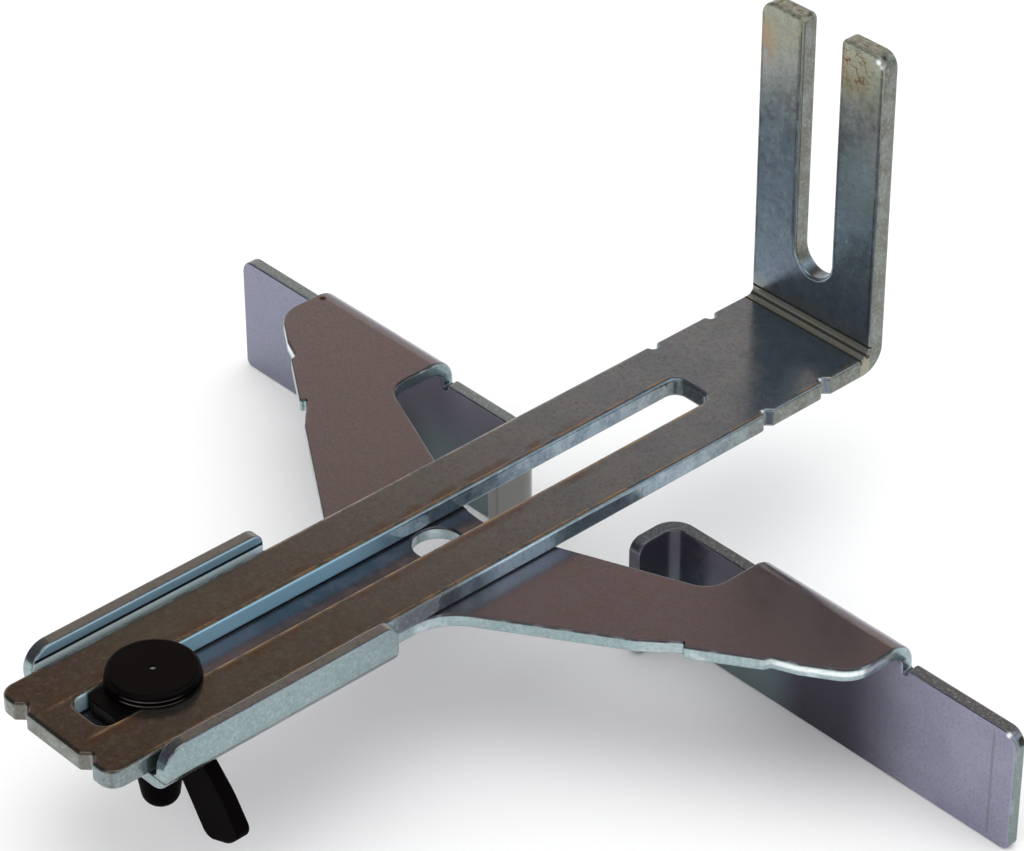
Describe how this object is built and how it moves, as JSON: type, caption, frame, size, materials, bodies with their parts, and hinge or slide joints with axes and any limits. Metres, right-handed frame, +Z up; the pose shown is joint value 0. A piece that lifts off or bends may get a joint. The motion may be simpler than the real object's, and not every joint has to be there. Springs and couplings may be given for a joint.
{
  "type": "dovetail jig side stop",
  "caption": "Adjustable side stop for a dovetail jig: a slotted bar bent up into a fork, a folded sheet fence that slides along it, and a wing-nut clamp.",
  "frame": {"origin": "centre of the bounding box, on the surface that the fence blades stand on", "axes": "+X along the fence, +Y along the bar towards its upright fork, +Z up"},
  "size_m": [0.264, 0.237, 0.1266],
  "materials": {
    "bar_zinc": "zinc-plated, tarnished",
    "sheet_zinc": "zinc-plated, semi-mirror",
    "black_plastic": "moulded, semi-gloss",
    "bolt_steel": "zinc-plated",
    "washer_steel": "zinc-plated",
    "nut_plastic": "moulded, semi-gloss",
    "insert_brass": "machined"
  },
  "bodies": {
    "bar": {"slide_bar": "bar_zinc"},
    "carriage": {"fence_carriage": "sheet_zinc", "clamp_head": "black_plastic", "clamp_bolt": "bolt_steel"},
    "washer": {"clamp_washer": "washer_steel"},
    "nut": {"wing_nut": "nut_plastic", "nut_insert": "insert_brass"}
  },
  "joints": [
    {"name": "fence_slide", "type": "slide", "parent": "bar", "child": "carriage", "axis": [0, 1, 0], "range_m": [0, 0.15]},
    {"name": "washer_drop", "type": "slide", "parent": "carriage", "child": "washer", "axis": [0, 0, -1], "range_m": [0, 0.002]},
    {"name": "nut_turn", "type": "hinge", "parent": "washer", "child": "nut", "pos_m": [0, -0.0909, 0.0338], "axis": [0, 0, -1], "range_deg": [0, 720]}
  ],
  "couplings": [
    {"joint": "washer_drop", "follows": "nut_turn", "m_per_rad": 0.00015915}
  ]
}
